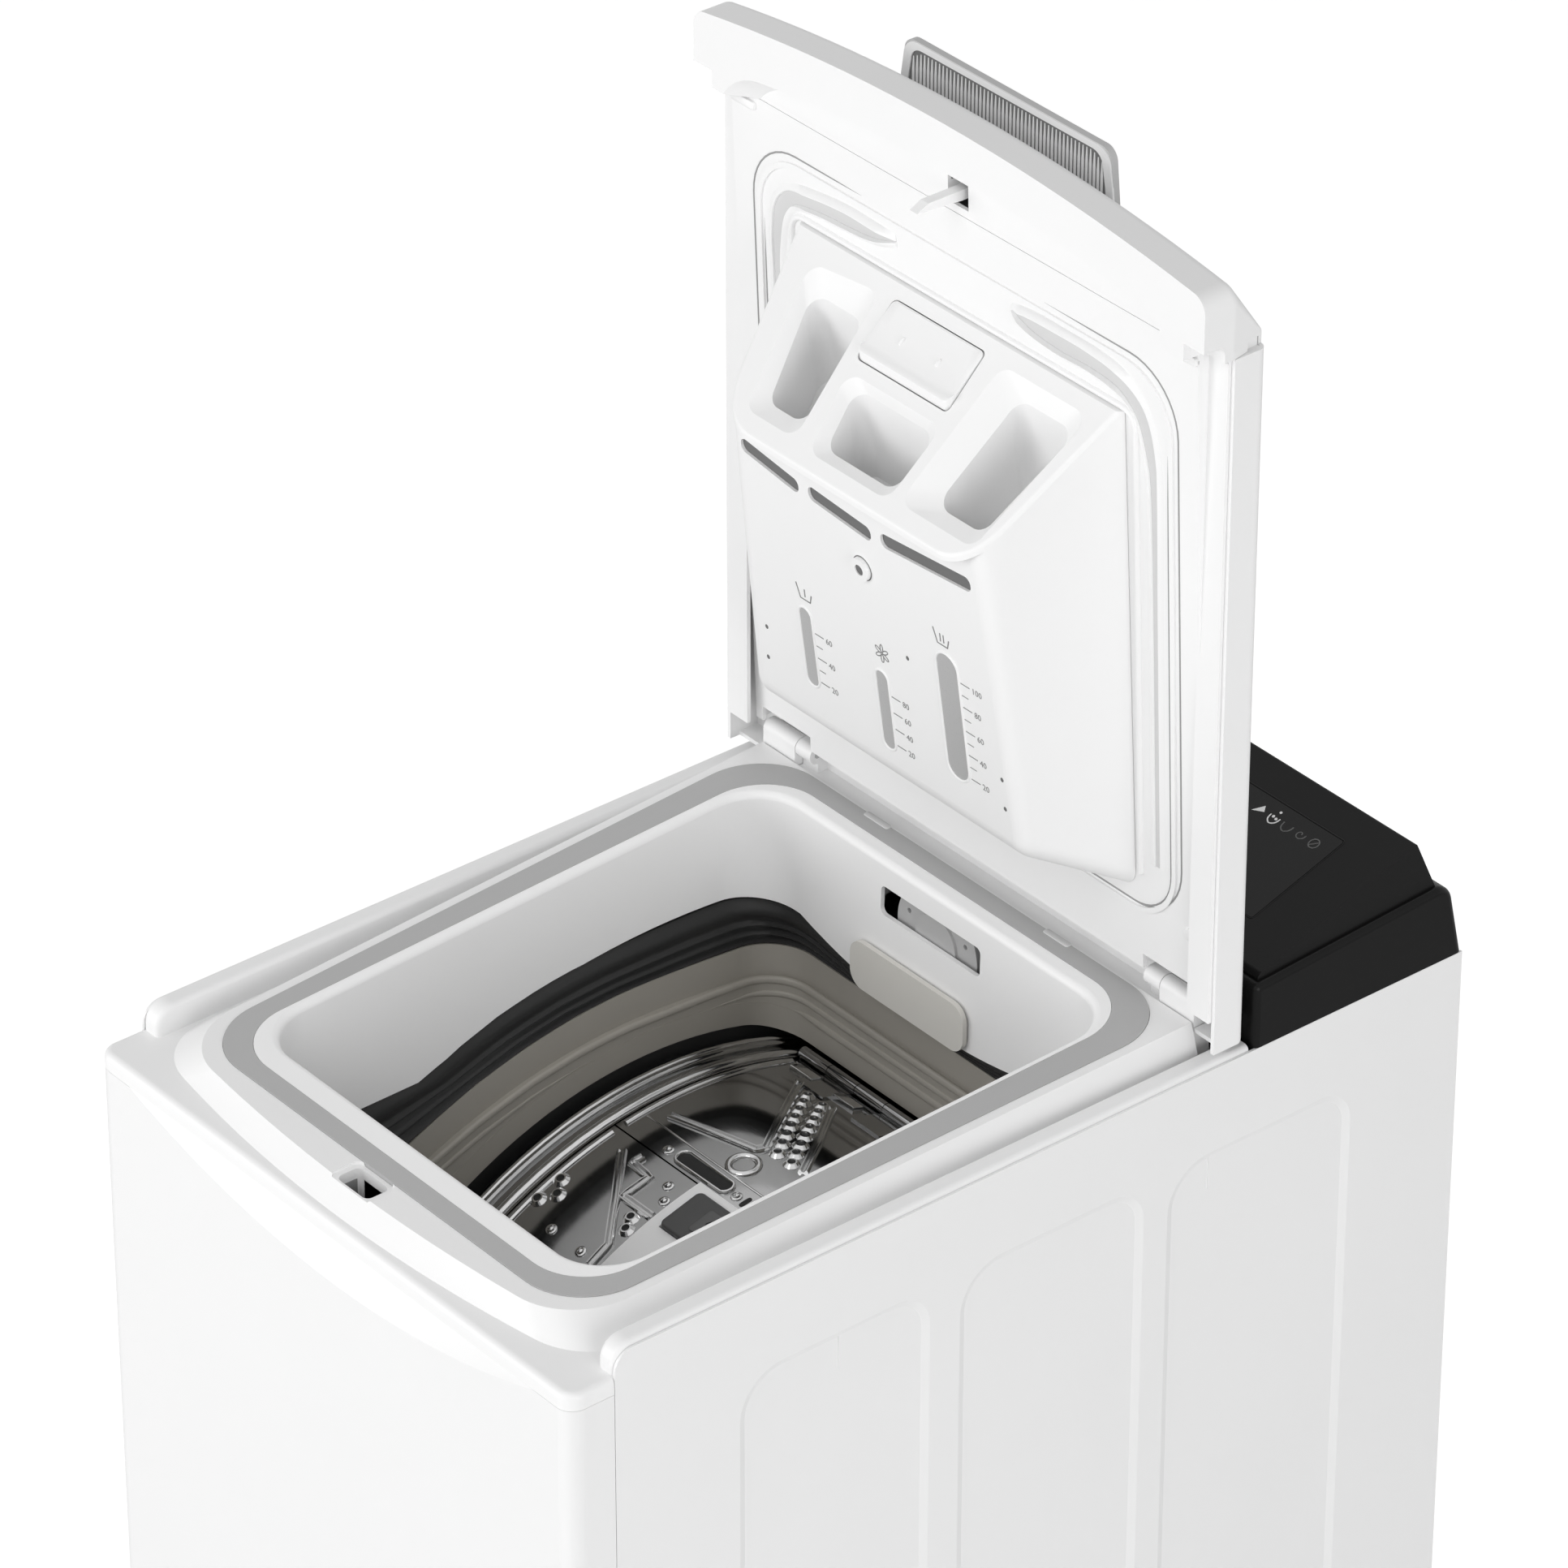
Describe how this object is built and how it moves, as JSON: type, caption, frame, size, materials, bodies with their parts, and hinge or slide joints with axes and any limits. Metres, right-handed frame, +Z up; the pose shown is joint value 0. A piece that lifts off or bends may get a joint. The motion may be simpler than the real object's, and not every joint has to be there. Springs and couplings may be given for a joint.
{
  "type": "top load washing machine",
  "caption": "Slim top load washing machine with a hinged lid, a detergent tray on the lid, a rounded mouth, a sprung tub, a horizontal steel drum with latching flaps and a sloping console.",
  "frame": {"origin": "on the floor under the middle of the cabinet", "axes": "+X to the right seen from the front, +Y to the rear, +Z up; the lid is open at rest"},
  "size_m": [0.4, 0.6, 1.344],
  "materials": {
    "white_enamel": "gloss enamel",
    "white_plastic": "satin",
    "grey_trim": "satin",
    "handle_grey": "satin",
    "black_console": "gloss",
    "display_black": "gloss",
    "knob_grey": "satin",
    "black_rubber": "matte",
    "greige_plastic": "satin",
    "stainless": "polished",
    "zinc_steel": "plated",
    "dark_plastic": "satin",
    "window_grey": "frosted",
    "concrete": "rough",
    "cast_metal": "cast",
    "board_green": "satin"
  },
  "bodies": {
    "cabinet": {"base_frame": "dark_plastic", "kick_panel": "white_plastic", "front_panel": "white_enamel", "left_side_panel": "white_enamel", "right_side_panel": "white_enamel", "rear_panel": "white_enamel", "top_frame": "white_plastic", "rim_trim": "grey_trim", "loading_funnel": "white_plastic", "funnel_tab": "greige_plastic", "water_distributor": "knob_grey", "hinge_pins": "zinc_steel", "lid_lock": "dark_plastic", "console_housing": "black_console", "display_glass": "display_black", "control_board": "board_green", "inlet_valve": "dark_plastic", "inlet_hose": "black_rubber", "drain_pump": "dark_plastic", "drain_pipe": "dark_plastic", "rear_feet": "dark_plastic", "damper_cylinders": "dark_plastic", "panel_screws": "zinc_steel"},
    "service_flap": {"service_flap": "white_plastic"},
    "program_knob": {"program_knob": "knob_grey"},
    "start_key": {"start_key": "knob_grey"},
    "option_key": {"option_key": "knob_grey"},
    "pump_filter": {"pump_filter": "dark_plastic"},
    "front_foot_left": {"front_foot_left": "dark_plastic"},
    "front_foot_right": {"front_foot_right": "dark_plastic"},
    "tub": {"tub_left_half": "dark_plastic", "tub_right_half": "dark_plastic", "tub_collar": "greige_plastic", "bellows": "black_rubber", "bearing_housings": "cast_metal", "bearings": "zinc_steel", "counterweight": "concrete", "motor": "cast_metal", "drive_belt": "black_rubber", "heater": "zinc_steel", "damper_rods": "zinc_steel", "suspension_springs": "zinc_steel", "sump_hose": "black_rubber"},
    "motor_pulley": {"motor_pulley": "cast_metal"},
    "drum": {"drum_shell": "stainless", "drum_ends": "stainless", "drum_pulley": "cast_metal", "drum_lifters": "grey_trim"},
    "front_flap": {"front_flap": "stainless", "latch_plate": "white_plastic"},
    "rear_flap": {"rear_flap": "stainless"},
    "latch_button": {"latch_button": "dark_plastic"},
    "lid": {"lid_shell": "white_plastic", "lid_front_cap": "white_plastic", "lid_liner": "white_plastic"},
    "lid_handle": {"lid_handle": "handle_grey"},
    "lid_hook": {"lid_hook": "white_plastic"},
    "dispenser": {"dispenser": "white_plastic", "dispenser_windows": "window_grey"},
    "release_tile": {"release_tile": "white_plastic"}
  },
  "joints": [
    {"name": "lid_hinge", "type": "hinge", "parent": "cabinet", "child": "lid", "pos_m": [0, 0.136, 0.885], "axis": [-1, 0, 0], "range_deg": [-90, 0]},
    {"name": "handle_lift", "type": "hinge", "parent": "lid", "child": "lid_handle", "pos_m": [0, 0.1495, 1.291], "axis": [-1, 0, 0], "range_deg": [0, 15], "stiffness_Nm_per_rad": 0.4, "springref_deg": -11.46},
    {"name": "hook_swing", "type": "hinge", "parent": "lid", "child": "lid_hook", "pos_m": [0, 0.12464, 1.297], "axis": [-1, 0, 0], "range_deg": [0, 12.1]},
    {"name": "dispenser_pull", "type": "slide", "parent": "lid", "child": "dispenser", "axis": [0, -1, 0], "range_m": [0, 0.04]},
    {"name": "tile_press", "type": "slide", "parent": "dispenser", "child": "release_tile", "axis": [0, 0.7071, -0.7071], "range_m": [0, 0.002], "stiffness_N_per_m": 900, "springref_m": -0.003},
    {"name": "tub_float", "type": "slide", "parent": "cabinet", "child": "tub", "axis": [0, 0, 1], "range_m": [-0.012, 0.008], "deforming": ["bellows", "suspension_springs", "sump_hose"]},
    {"name": "drum_spin", "type": "hinge", "parent": "tub", "child": "drum", "pos_m": [0, 0.014, 0.494], "axis": [1, 0, 0], "range_deg": [0, 360]},
    {"name": "motor_spin", "type": "hinge", "parent": "tub", "child": "motor_pulley", "pos_m": [0, 0.11, 0.15477], "axis": [1, 0, 0], "range_deg": [0, 4650]},
    {"name": "front_flap_hinge", "type": "hinge", "parent": "drum", "child": "front_flap", "pos_m": [0, -0.1627, 0.66168], "axis": [1, 0, 0], "range_deg": [0, 68]},
    {"name": "rear_flap_hinge", "type": "hinge", "parent": "drum", "child": "rear_flap", "pos_m": [0, 0.1013, 0.72142], "axis": [-1, 0, 0], "range_deg": [0, 70]},
    {"name": "latch_press", "type": "slide", "parent": "front_flap", "child": "latch_button", "axis": [0, 0.2672, -0.9636], "range_m": [0, 0.002], "stiffness_N_per_m": 900, "springref_m": -0.003},
    {"name": "program_turn", "type": "hinge", "parent": "cabinet", "child": "program_knob", "pos_m": [-0.11, 0.212, 0.923], "axis": [0, -0.311, 0.9504], "continuous": true},
    {"name": "start_press", "type": "slide", "parent": "cabinet", "child": "start_key", "axis": [0, 0.311, -0.9504], "range_m": [0, 0.001], "stiffness_N_per_m": 800, "springref_m": -0.002},
    {"name": "option_press", "type": "slide", "parent": "cabinet", "child": "option_key", "axis": [0, 0.311, -0.9504], "range_m": [0, 0.001], "stiffness_N_per_m": 800, "springref_m": -0.002},
    {"name": "service_flap_hinge", "type": "hinge", "parent": "cabinet", "child": "service_flap", "pos_m": [0.085, -0.2945, 0.0535], "axis": [1, 0, 0], "range_deg": [0, 75]},
    {"name": "filter_turn", "type": "hinge", "parent": "cabinet", "child": "pump_filter", "pos_m": [0.085, -0.284, 0.092], "axis": [0, 1, 0], "range_deg": [0, 180]},
    {"name": "left_foot_level", "type": "slide", "parent": "cabinet", "child": "front_foot_left", "axis": [0, 0, -1], "range_m": [0, 0.012]},
    {"name": "right_foot_level", "type": "slide", "parent": "cabinet", "child": "front_foot_right", "axis": [0, 0, -1], "range_m": [0, 0.012]}
  ],
  "couplings": [
    {"joint": "motor_spin", "follows": "drum_spin", "ratio": 12.909},
    {"joint": "hook_swing", "follows": "handle_lift", "ratio": 0.8}
  ]
}
